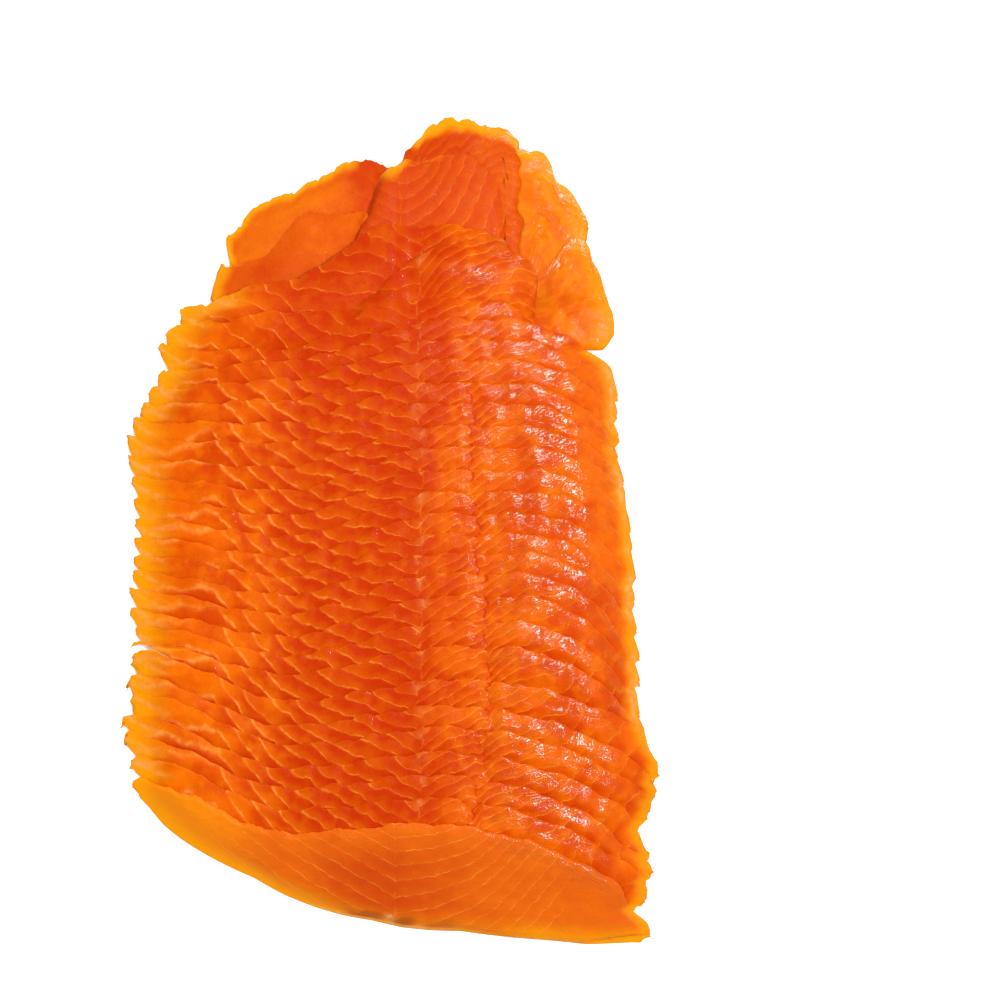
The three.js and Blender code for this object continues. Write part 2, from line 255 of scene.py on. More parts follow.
def lower_edge(cut, x, top):
    """Lower edge of a slice in plan."""
    layer = cut["layer"]
    if layer == FRONT_LAYER:
        last = layer
    elif layer >= FIRST_LOIN_LAYER:
        last = layer - 0.2
    else:
        last = -tail_limit(x) - 0.45
        if cut["name"] == "tail_leaf":
            last = blend(0.7, last, ease(-60, -35, x))
    y = layer_end(last, x)
    if cut["name"] == "tail_trim":
        y = blend(79, 101, ease(54, 59.5, x))
    if cut["name"] == "tail_fold":
        y = np.full_like(x, 72.0)
    if layer <= 21:
        y = np.where(x < -86, np.maximum(y, -42 - 0.57 * (x - SIDE_LEFT)), y)
    left_end = 7.0 if cut["name"] in ("tail_end", "tail_trim", "tail_fold") else x - cut["left"]
    right_end = 7.0 if cut["name"] in ("tail_flap", "tail_end") else cut["right"] - x
    end = np.minimum(left_end, right_end)
    full = np.maximum(1.4, top - y)
    return top - blend(np.minimum(3.0, full), full, np.sqrt(np.clip(end / 3.5, 0, 1)))


# Stands for a place that nothing reaches
FAR = 1e3


def covering_edge(cut, x):
    """Upper edge of whatever lies on top of a slice."""
    cover = np.full_like(x, -FAR)
    for other in cuts:
        if other["layer"] > cut["layer"]:
            inside = (x > other["left"]) & (x < other["right"])
            cover = np.where(inside, np.maximum(cover, cut_edge(other, x)), cover)
    return cover


# Outline of the whole side at every millimetre, read off all the cuts, for the thin rim
outline_y = np.arange(-175, 180, 1.0)
outline_x = np.arange(-108, 110, 1.0)
outline_left = np.full_like(outline_y, FAR)
outline_right = np.full_like(outline_y, -FAR)
outline_top = np.full_like(outline_x, -FAR)
outline_bottom = np.full_like(outline_x, FAR)
for cut in cuts:
    inside = outline_x[(outline_x > cut["left"]) & (outline_x < cut["right"])]
    top = cut_edge(cut, inside)
    bottom = lower_edge(cut, inside, top)
    held = (bottom[None, :] <= outline_y[:, None]) & (outline_y[:, None] <= top[None, :])
    outline_left = np.minimum(outline_left, np.where(held, inside[None, :], FAR).min(1))
    outline_right = np.maximum(outline_right, np.where(held, inside[None, :], -FAR).max(1))
    there = np.isin(outline_x, inside)
    outline_top[there] = np.maximum(outline_top[there], top)
    outline_bottom[there] = np.minimum(outline_bottom[there], bottom)
for step in (-1, 1):
    outline_top = np.maximum(outline_top, np.roll(outline_top, step))
smoothing = np.ones(7) / 7
soft_left = np.convolve(np.where(outline_left == FAR, 0, outline_left), smoothing, "same")
soft_right = np.convolve(np.where(outline_right == -FAR, 0, outline_right), smoothing, "same")


# The thin edges spread a little under their own weight. Each table gives places along one edge of
# the side, in y for the two long edges and in x for the two ends, and how far it spreads there.
SPREAD_LEFT = (
    [-110, -100, -85, -75, -60, -48, -30, -8, 15, 33, 50, 62, 72, 84, 90, 97, 104, 122, 135],
    [1.5, 2, 5, 5, 2.5, 3.5, 2.5, 2, 2.2, 4, 3, 1, 5, 4.5, 7, 5, 1.2, 2.5, 0],
)
SPREAD_RIGHT = (
    [-157, -151, -146, -140, -132, -126, -118, -108, -95, -84, -75, -66]
    + [-52, -35, 5, 18, 45, 58, 66, 72, 78, 84, 95],
    [1, -2.5, 1, 4, 3.2, -2, -1.5, 4.4, 4, 5, 3, 3.8, 3.2, 2.2, 2.4, 3.6, 2, 3, 5, 0.5, 3.4, 2, -1.3],
)
SPREAD_FRONT = (
    [-96, -90, -84, -66, -54, -42, -30, -18, -6, 6, 18, 30, 42, 60, 78, 96],
    [2, 3.6, 3.6, 2.5, 1.8, 3.4, 4, 4, 3.2, 3.6, 2.8, 1.6, 2, 2.3, 3.4, 2],
)
SPREAD_TAIL = (
    [-66, -60, -54, -48, -42, -30, -24, -18, -6, 0, 6, 12, 18, 24, 30, 36, 42, 48, 60, 72, 78, 84],
    [2, 3, 3, 0, -1, -4, -2.5, 1.5, 1, 0, 3.5, -1, 1, 3, 2.4, 0, -1, 0, 0.6, -1, -4, -4],
)


def spread_out(x, y):
    """Sideways and lengthways shift of the flesh near the edges of the side."""
    to_left = x - np.interp(y, outline_y, soft_left)
    to_right = np.interp(y, outline_y, soft_right) - x
    to_front = y - np.interp(x, outline_x, outline_bottom)
    to_tail = np.interp(x, outline_x, outline_top) - y
    left = np.interp(y, *SPREAD_LEFT) * (1 - ease(0, 28, to_left))
    right = np.interp(y, *SPREAD_RIGHT) * (1 - ease(0, 25, to_right))
    front = np.interp(x, *SPREAD_FRONT) * (1 - ease(0, 24, to_front))
    tail = np.interp(x, *SPREAD_TAIL) * (1 - ease(0, 16, to_tail))
    weave = 1.8 * ripple(y, 22, 4) * np.exp(-(((x - 54) / 9) ** 2)) * ease(95, 112, y)
    weave = weave + 1.4 * ripple(y, 19, 8) * np.exp(-((x / 8) ** 2)) * ease(118, 134, y)
    return right - left + weave, tail - front


# Sliced flesh
# Farmed salmon, dry-salted and cold-smoked: dense wet muscle, orange to deep red, parted by thin
# cream seams of fat, and cut with a long thin blade that leaves satin faces and feather edges.
SLICE_THICKNESS = 2.82
COLUMN_STEP = 1.05
ROW_STEP = 0.75
FEWEST_ROWS = 12
MOST_ROWS = 70
HIDDEN_ROWS = 4
# Colours: the crevice colour paints shade, the feather edge and rim gold colours paint light, and the deep
# red and block light colours are the flesh's own tones that also paint shade and light
DEEP_RED = "#C83200"
CREVICE_SHADE = "#C42C00"
SEAM_FAT = "#FF9840"
BLOCK_LIGHT = "#F67C06"
FEATHER_EDGE = "#FF9228"
RIM_GOLD = "#FF9E06"
SMOKED_SKIN = "#EF7A3A"
FLANK_BROWN = "#B4560F"
FLANK_CREAM = "#F2B26A"


def linear(colour_code):
    """Turns an sRGB hex colour into linear light."""
    parts = [int(colour_code[n : n + 2], 16) / 255 for n in (1, 3, 5)]
    return (*[p / 12.92 if p <= 0.04045 else ((p + 0.055) / 1.055) ** 2.4 for p in parts], 1.0)


def add(tree, kind, inputs, **settings):
    """Adds one node, sets it up, and fills or links its inputs, given by name or in their order."""
    made = tree.nodes.new(kind)
    for key, value in settings.items():
        setattr(made, key, value)
    for key, value in inputs.items() if isinstance(inputs, dict) else enumerate(inputs):
        if isinstance(value, bpy.types.Node):
            value = value.outputs[0]
        if isinstance(value, bpy.types.NodeSocket):
            tree.links.new(value, made.inputs[key])
        else:
            made.inputs[key].default_value = value
    return made


def mask(tree, factors):
    """Product of values and of smooth steps, each a value, its two ends, and the levels there."""
    product = None
    for factor in factors:
        if isinstance(factor, tuple):
            factor = add(tree, "ShaderNodeMapRange", factor, interpolation_type="SMOOTHSTEP")
        if product is None:
            product = factor
        else:
            product = add(tree, "ShaderNodeMath", [product, factor], operation="MULTIPLY")
    return product


def sliced_flesh(name, flesh, deep, line_strength, mottling):
    """Satin cut muscle with fat seams and the dried smoked skin, with painted light glowing gold through
    thin rims and painted red shade in crevices.
    """
    material = bpy.data.materials.new(name)
    material.use_nodes = True
    tree = material.node_tree
    tree.nodes.clear()
    maths = "ShaderNodeMath"
    noise = "ShaderNodeTexNoise"

    # What each point of the slice knows about itself, written on its mesh by flesh_notes
    notes = {}
    vectors = {}
    for key in ("lie", "tone", "seams", "marks_and_shade"):
        vectors[key] = add(tree, "ShaderNodeAttribute", {}, attribute_name=key).outputs["Vector"]
        notes[key] = add(tree, "ShaderNodeSeparateXYZ", [vectors[key]]).outputs[:3]
    side, depth, cover = notes["lie"]
    rim, red, film = notes["tone"]
    count, seam_width, tear = notes["seams"]
    brown, cream, shade_strength = notes["marks_and_shade"]

    # Mottling of 16 mm, patches of 6 mm, muscle bundles of 3 mm and grain of 0.6 mm: each scale is
    # the number of these in a metre
    place = add(tree, "ShaderNodeTexCoord", {}).outputs["Object"]
    broad = add(tree, noise, {"Vector": place, "Scale": 62.0, "Detail": 2.0})
    patches = add(tree, noise, {"Vector": place, "Scale": 165.0, "Detail": 3.0})
    bundles = add(tree, noise, {"Vector": place, "Scale": 340.0, "Detail": 3.0})
    grain = add(tree, noise, {"Vector": place, "Scale": 1600.0, "Detail": 3.0})

    # Fat seams: a soft line wherever the seam count passes a whole number
    shaken = add(tree, maths, [bundles, 0.1 * mottling, count], operation="MULTIPLY_ADD")
    shaken = add(tree, maths, [patches, 0.14 * mottling, shaken], operation="MULTIPLY_ADD")
    block = add(tree, maths, [shaken], operation="FRACT")
    to_seam = add(tree, maths, [shaken, 0.5], operation="PINGPONG")
    seam_seen = (bundles, 0.36, 0.6, 0.35, 1.0)
    seam = mask(tree, [(to_seam, 0.0, seam_width, 1.0, 0.0), seam_seen, (patches, 0.36, 0.56, 0.35, 1.0)])
    lined = add(tree, maths, [seam_width, 8.0], operation="MULTIPLY", use_clamp=True)

    # Painted shade: the red crescent and the dark hair line where the next slice lies on this one
    shade_crescent = [(cover, 0.0, 2.2, 0.7, 0.0), (block, 0.1, 0.9, 1.0, 0.2), (patches, 0.44, 0.6, 1.0, 0.1)]
    shade_hair_line = [(cover, 0.05, 0.6, 0.25, 0.0), (bundles, 0.4, 0.6, 1.0, 0.2)]
    crevice_shade = add(tree, maths, [mask(tree, shade_crescent), mask(tree, shade_hair_line)], operation="MAXIMUM")

    # Two lines that wander by 1.2 mm: the torn one of the pin bones, and the lateral line
    from_tear = add(tree, maths, [bundles, 2.4, tear], operation="MULTIPLY_ADD")
    from_tear = add(tree, maths, [from_tear, -1.2], operation="ADD")
    from_tear = add(tree, maths, [from_tear], operation="ABSOLUTE")
    from_line = add(tree, maths, [patches, 2.4, side], operation="MULTIPLY_ADD")
    from_line = add(tree, maths, [from_line, -1.2], operation="ADD")
    from_line = add(tree, maths, [from_line], operation="ABSOLUTE")

    # The smoked skin side dries to a film with fine wrinkles, about 1 mm wide and 3 mm long. They run
    # with the muscle blocks on the back, and with the slice's edge near the rim.
    along = add(tree, "ShaderNodeMapping", {"Vector": vectors["lie"], "Scale": (0.22, 1.25, 0.0)})
    along = add(tree, noise, {"Vector": along, "Scale": 1.4, "Detail": 2.0})
    across = add(tree, "ShaderNodeCombineXYZ", [mask(tree, [count, 7.5]), mask(tree, [depth, 0.32])])
    across = add(tree, noise, {"Vector": across, "Scale": 1.0, "Detail": 2.0})
    outer = mask(tree, [(side, 56.0, 76.0, 0.1, 0.8)])
    wrinkle = add(tree, "ShaderNodeMix", {0: outer, 2: across, 3: along}, data_type="FLOAT")
    strokes = add(tree, maths, [grain, 0.4, wrinkle], operation="MULTIPLY_ADD")
    film = mask(tree, [film, (patches, 0.36, 0.5, 0.15, 1.0)])
    glints = mask(tree, [(grain, 0.6, 0.68, 0.0, 0.6)])
    oil = mask(tree, [film, (strokes, 0.69, 0.76, 0.0, 1.0)])
    oil = add(tree, maths, [oil, glints], operation="MAXIMUM")

    # Colour, from the flesh up to what lies over it
    calm = (red, 0.5, 1.1, 1.0, 0.35)
    layers = [
        (deep, [(broad, 0.4, 0.66, 0.0, 0.6 * mottling)]),
        (BLOCK_LIGHT, [(patches, 0.45, 0.75, 0.0, 0.5 * mottling), calm]),
        (BLOCK_LIGHT, [(broad, 0.52, 0.36, 0.0, 0.3 * mottling), calm]),
        # Painted shade: darker red on the part of the slice that runs under the next one, strongest just
        # above its edge
        (DEEP_RED, [(cover, 0.0, 6.5, 0.75, 0.0), (block, 0.0, 1.0, 1.0, 0.35), shade_strength]),
        # Painted shading: each muscle block lighter towards one of its seams, like overlapping scales lit
        # from one side
        (BLOCK_LIGHT, [(block, 0.3, 1.0, 0.0, 0.34), lined]),
        # Partly painted light: gold where light would shine through the thin flesh of the rims, over their
        # own golden fat
        (RIM_GOLD, [rim]),
        (SEAM_FAT, [seam, line_strength, (red, 0.5, 1.2, 1.0, 0.6)]),
        (SEAM_FAT, [(from_line, 0.1, 0.55, 1.0, 0.0), (bundles, 0.46, 0.6, 0.0, 1.0), 0.25 * line_strength]),
        # Partly painted light: the thin feather edge of each slice shown lighter as light shines through it,
        # partly its film of fat
        (FEATHER_EDGE, [(depth, 0.0, 0.9, 0.1, 0.0), seam_seen]),
        # Painted shade in the crevice where the next slice lies on this one
        (CREVICE_SHADE, [crevice_shade, shade_strength]),
        # Painted shade in the groove of the torn pin bone line
        (CREVICE_SHADE, [(from_tear, 0.15, 0.9, 0.85, 0.0), (patches, 0.42, 0.58, 1.0, 0.1)]),
        (FLANK_CREAM, [cream, (bundles, 0.38, 0.6, 0.2, 1.0)]),
        (FLANK_BROWN, [brown]),
        (SMOKED_SKIN, [film, 0.07]),
    ]
    tints = {0: red, 6: linear(flesh), 7: linear(deep)}
    colour = add(tree, "ShaderNodeMix", tints, data_type="RGBA").outputs[2]
    for tint, factors in layers:
        tints = {0: mask(tree, factors), 6: colour, 7: linear(tint)}
        colour = add(tree, "ShaderNodeMix", tints, data_type="RGBA").outputs[2]

    # Satin where it was cut, smoother where oil came out of the skin
    roughness = mask(tree, [(oil, 0.0, 1.0, 0.42, 0.3)])
    roughness = add(tree, maths, [grain, 0.12, roughness], operation="MULTIPLY_ADD")

    # Relief in parts of its 0.5 mm depth: wrinkled film, proud fat seams, fibre bundles and grain
    relief = add(tree, maths, [seam, 0.06, mask(tree, [wrinkle, oil, 0.6])], operation="MULTIPLY_ADD")
    relief = add(tree, maths, [grain, 0.2, relief], operation="MULTIPLY_ADD")
    relief = add(tree, maths, [bundles, 0.55, relief], operation="MULTIPLY_ADD")
    bump = add(tree, "ShaderNodeBump", {"Height": relief, "Strength": 0.85, "Distance": 0.0005})
    ripples = add(tree, maths, [wrinkle, 0.34, mask(tree, [bundles, 0.38])], operation="MULTIPLY_ADD")
    ripples = add(tree, maths, [grain, 0.11, ripples], operation="MULTIPLY_ADD")
    oil_bump = add(tree, "ShaderNodeBump", {"Height": ripples, "Strength": 1.0, "Distance": 0.0005})
    surface = {
        "Base Color": colour,
        "Roughness": roughness,
        "IOR": 1.42,
        "Specular IOR Level": 0.08,
        "Coat Weight": oil,
        "Coat Roughness": 0.07,
        "Coat IOR": 1.45,
        "Coat Normal": oil_bump,
        "Normal": bump,
    }
    skin = add(tree, "ShaderNodeBsdfPrincipled", surface)
    add(tree, "ShaderNodeOutputMaterial", {"Surface": skin})
    return material


FATTY_PIECES = ("tail_trim", "tail_fold")
# Oily spots on the tail, where the smoked skin side or a bulge shows: middle and half size
OILY_SPOTS = [
    (77, 111, 4, 6),
    (65, 100, 3, 3),
    (84, 80, 2.4, 5),
    (33, 101, 10, 5),
    (45, 81, 4, 5),
    (70, 74, 3, 5),
    (52, 97, 4, 7),
    (60, 138, 2, 3),
    (65, 127, 2, 3),
    (54, 120, 2, 4),
]
# Layers whose painted shade in the crevice beside the next slice is darkest
DARKEST_SHADE_LAYERS = (3, 5, 8, 20, 21, 22, 25)


def flesh_notes(cut, x, y, depth, share, to_cover, tear, count):
    """What the material needs to know at each point. Share is depth in parts of the whole face."""
    to_left = x - np.interp(y, outline_y, outline_left)
    to_right = np.interp(y, outline_y, outline_right) - x
    to_front = y - np.interp(x, outline_x, outline_bottom)
    to_tail = np.interp(x, outline_x, outline_top) - y

    # Gold along the thin rims, partly the golden fat there and partly painted light shining through the thin
    # flesh, and deep red along the middle
    rim = (1 - ease(1, 17, to_left)) * 0.95
    rim = np.maximum(rim, 0.8 * (1 - ease(1.0, 6.5, to_right)))
    front_rim = 0.9 - 0.5 * ease(-40, 0, x) * (1 - ease(40, 60, x))
    rim = np.maximum(rim, (1 - ease(0, 9, to_front)) * front_rim)
    rim = np.maximum(rim, 0.9 * (1 - ease(1.5, 8, to_tail)))
    red = ease(-78, -30, x) * (1 - 0.62 * ease(4, 40, x)) * (1 - 0.6 * ease(60, 96, x))
    if cut["layer"] == FRONT_LAYER:
        red = 0.6 * np.exp(-(((x + 4) / 32) ** 2)) * ease(0.05, 0.5, share)
        red = red + 0.3 * ease(-75, -25, x)
        rim = np.maximum(rim, 0.5 * (1 - ease(-85, -40, x)))
        red = red + 0.6 * np.exp(-(((x + 10) / 8) ** 2) - ((share - 0.87) / 0.05) ** 2)
    if cut["layer"] < FIRST_LOIN_LAYER:
        red = 0.5 * red + 0.15
    red = red + 0.6 * np.exp(-(((x + 74) / 13) ** 2) - ((y - 36) / 15) ** 2)
    red = red + 0.8 * np.exp(-(((x + 2) / 26) ** 2) - ((y - 84) / 36) ** 2)
    if cut["name"] == "tail_end":
        red = red + 0.25
        # Painted shade: a dark red band where the tail end folds down on its left, turned away from the
        # light
        inward = (x - 1.8) * 0.73 - (y - 144.6) * 0.68
        red = red + 0.9 * ease(0.5, 2.0, inward) * (1 - ease(4, 9, inward))
        red = red + 0.45 * ease(1, 7, to_tail) * (1 - ease(26, 42, x))
        rim = 0.95 * (1 - ease(2.5, 6.5, to_tail)) * ease(4, 10, x + 8 * ease(150, 160, y) - 4)
    if cut["name"] == "tail_flap":
        to_edge = np.minimum(to_tail, 1.4 * to_left + 0.5)
        rim = 0.9 * (1 - ease(1.0, 5.0, to_edge)) * (1 - ease(-17, -12, x))
        # Painted shadow: darker red towards the flap's right end, where the long cut face lying over it
        # casts its shadow
        red = 0.08 + 0.4 * np.exp(-(((to_tail - 6) / 2) ** 2)) + 1.1 * ease(-22, -8, x)
        rim = np.maximum(rim, 0.1 * (1 - ease(-30, -16, x)))
    if cut["name"] == "tail_leaf":
        rim = 0.8 * (1 - ease(1.0, 6.0, to_left))
        red = 0.35 + 0.5 * np.exp(-(((x + 50) / 7) ** 2) - ((y - 104) / 5) ** 2)
    if cut["name"] == "tail_face":
        red = red + 0.4
    if cut["name"] in FATTY_PIECES:
        red = red * 0.3
        patch = ease(-0.5, 0.7, ripple(x + 0.7 * y, 17, 23) + 0.6 * ripple(y - x, 9, 24))
        rim = np.maximum(rim, (0.14 if cut["name"] == "tail_trim" else 0.06) + 0.25 * patch)
        rim = np.maximum(rim, 0.7 * (1 - ease(1, 14, to_right)))
        red = red + 0.1 * (1 - patch)

    # The smoked skin side shows as a band below the upper edge on the back, and in spots
    film_width = 7.0 + 1.6 * ripple(x, 23, cut["seed"] + 31)
    film = 1 - ease(film_width - 1.5, film_width + 2.5, depth)
    film = film * ease(27, 50, x) * (1 - 0.6 * ease(84, 92, x))
    film = np.maximum(film, 0.4 * np.exp(-(((tear + 3.4) / 2.6) ** 2)))
    for spot_x, spot_y, spot_width, spot_height in OILY_SPOTS:
        spot = ((x - spot_x) / spot_width) ** 2 + ((y - spot_y) / spot_height) ** 2
        film = np.maximum(film, np.exp(-spot))
    if cut["name"] in FATTY_PIECES:
        film = np.maximum(film, 0.45 * ease(0.2, 0.7, ripple(x + y, 11, 27)))

    # Half width of the fat seams, in parts of a muscle block, with stars on the lateral line
    line = x - lateral_line(cut)
    to_back = np.interp(line, [0, 12, 20, 30, 52, 70], [0.04, 0.05, 0.09, 0.09, 0.05, 0.02])
    to_belly = np.interp(line, [-62, -22, -10, 0], [0.13, 0.09, 0.06, 0.05])
    width_of_seam = np.where(line < 0, to_belly, to_back)
    width_of_seam = width_of_seam + 0.03 * (1 - ease(-76, -66, x))
    if FIRST_LOIN_LAYER <= cut["layer"] < 7:
        width_of_seam = width_of_seam * blend(0.5, 1, ease(-5, 15, x))
    if 6 < cut["layer"] < THICK_LAYER:
        width_of_seam = width_of_seam * blend(1, 0.6, ease(36, 50, x))
    if cut["layer"] < FIRST_LOIN_LAYER:
        width_of_seam = 0.055 * ease(-30, 16, x)
    star = np.exp(-((line / 2.2) ** 2) - ((depth - 1.5) / 2.6) ** 2)
    star = star * ease(-0.6, 0.6, wander(cut["seed"], 19))
    width_of_seam = width_of_seam + 0.1 * star
    if cut["layer"] == FRONT_LAYER:
        width_of_seam = 0.052 * (1 - ease(66, 72, x)) * ease(-78, -60, x)

    # How dark the painted shade in the crevice beside the next slice is
    shade_strength = 0.62 + 0.38 * wander(cut["seed"], 14)
    if cut["layer"] in DARKEST_SHADE_LAYERS:
        shade_strength = 1.0
    if cut["layer"] < FIRST_LOIN_LAYER:
        shade_strength = 0.8 if cut["name"] == "tail_trim" else 0.3 * (1 - ease(36, 41, x))
    shade_strength = shade_strength * (1 - (0.35 if cut["layer"] >= THICK_LAYER else 0.65) * ease(16, 40, x))
    shade_strength = shade_strength * (1 - 0.8 * ease(0, 1, 1 - to_right / 6)) * blend(0.12, 1, ease(3, 22, to_left))

    # The flank's fat on the front slice: two brown lobes, a cream star between, a cream edge below
    brown = cream = np.zeros_like(x)
    if cut["layer"] == FRONT_LAYER:
        pad = 0.9 + 0.03 * ripple(x, 14, 3)
        lobes = np.exp(-(((x + 9) / 7.5) ** 4)) + np.exp(-(((x - 6) / 4.5) ** 4))
        lobes = lobes + 0.5 * np.exp(-(((x - 21) / 6) ** 4))
        brown = ease(pad - 0.025, pad + 0.02, share) * (1 - ease(0.965, 0.985, share))
        brown = 0.9 * np.minimum(1, lobes) * brown
        cream = 0.9 * np.exp(-(((x - 0.3) / 2.4) ** 2)) * ease(0.86, 0.92, share)
        cream = np.maximum(cream, 0.75 * np.exp(-(((x + 3) / 28) ** 4)) * ease(0.955, 0.985, share))
    elif cut["layer"] >= FIRST_LOIN_LAYER:
        cream = 0.2 * star + 0.4 * (1 - ease(3, 16, to_left)) * ease(0.1, 0.7, ripple(x + 2 * y, 17, 9))
        pale = np.exp(-(((to_right - 1.4) / 1.3) ** 2)) * ease(-84, -70, y) * (1 - ease(60, 80, y))
        cream = np.maximum(cream, 0.6 * pale * ease(-0.6, 0.4, ripple(y, 40, 17)))
    return {
        "lie": (line, depth, to_cover),
        "tone": (rim, red, film),
        "seams": (count, width_of_seam, tear),
        "marks_and_shade": (brown, cream, shade_strength),
    }


def rows_shown(cut):
    """Rows of faces over the part of a slice that shows."""
    x = np.linspace(cut["left"] + 0.5, cut["right"] - 0.5, 60)
    top = cut_edge(cut, x)
    full = top - lower_edge(cut, x, top)
    shown = np.minimum(top - covering_edge(cut, x), full)
    return int(np.clip(np.percentile(shown, 90) / ROW_STEP, FEWEST_ROWS, MOST_ROWS))


def flat_sheet(cut, rows):
    """A closed sheet for one slice, still flat, and one unit wide, long and thick."""
    columns = int((cut["right"] - cut["left"]) / COLUMN_STEP)
    shell = bmesh.new()
    bmesh.ops.create_grid(shell, x_segments=columns, y_segments=rows, size=0.5)
    raised = bmesh.ops.extrude_face_region(shell, geom=shell.faces[:])["geom"]
    raised = [part for part in raised if isinstance(part, bmesh.types.BMVert)]
    bmesh.ops.translate(shell, verts=raised, vec=(0, 0, 1))
    bmesh.ops.recalc_face_normals(shell, faces=shell.faces[:])
    mesh = bpy.data.meshes.new("salmon_" + cut["name"])
    shell.to_mesh(mesh)
    shell.free()
    return mesh


def cut_thickness(cut, x, depth, full, band):
    """Thickness as the slanting blade leaves it: a feather edge, and a short slope behind it."""
    if cut["layer"] == FRONT_LAYER:
        profile = [0.5, 1.3, 2.1, 2.6, 2.6, 2.0, 0.6]
        return np.interp(depth / full, [0, 0.03, 0.1, 0.3, 0.75, 0.93, 1], profile)
    thickest = SLICE_THICKNESS if cut["layer"] > 8 else SLICE_THICKNESS - 0.1
    count = seam_count(cut, x, 0)
    block = count - np.floor(count)
    back = ease(35, 62, x) * (1.0 if cut["layer"] >= THICK_LAYER else 0.35)
    lip = 0.02 + 0.03 * (1 - block) * ease(0, 0.3, block) + 0.09 * back
    slope = np.minimum(0.92 * band, 12)
    crown = 0.85 - 0.05 * ease(8, 30, x)
    if cut["layer"] >= THICK_LAYER:
        slope = slope * (1 - 0.26 * back)
        crown = 0.85 + 0.05 * back
    return lip + (thickest - lip) * np.clip(depth / slope, 0, 1) ** crown


def settled_relief(cut, x, y, count, tear):
    """Swelling muscle blocks, low waves where the slice settled, and the groove of the torn line."""
    swell = 0.08 * np.sin(math.pi * (count - np.floor(count)))
    waves = 0.42 * ripple(x + 0.4 * y, 19, 11) * ripple(y - 0.3 * x, 13, 12)
    waves = waves + 0.1 * ease(35, 50, x) * ripple(x + 1.3 * y, 5.5, 13) * ripple(y - 0.6 * x, 7, 14)
    if cut["name"] in FATTY_PIECES:
        waves = ripple(x - y, 15, 41) * ripple(x + 0.7 * y, 9, 42)
        waves = waves + 0.25 * ripple(y - 0.4 * x, 6, 43) - 0.6
    open_tear = 1.2 if cut["layer"] > THICK_LAYER else 0.45
    return swell + waves - open_tear * np.exp(-((tear / 1.2) ** 2))


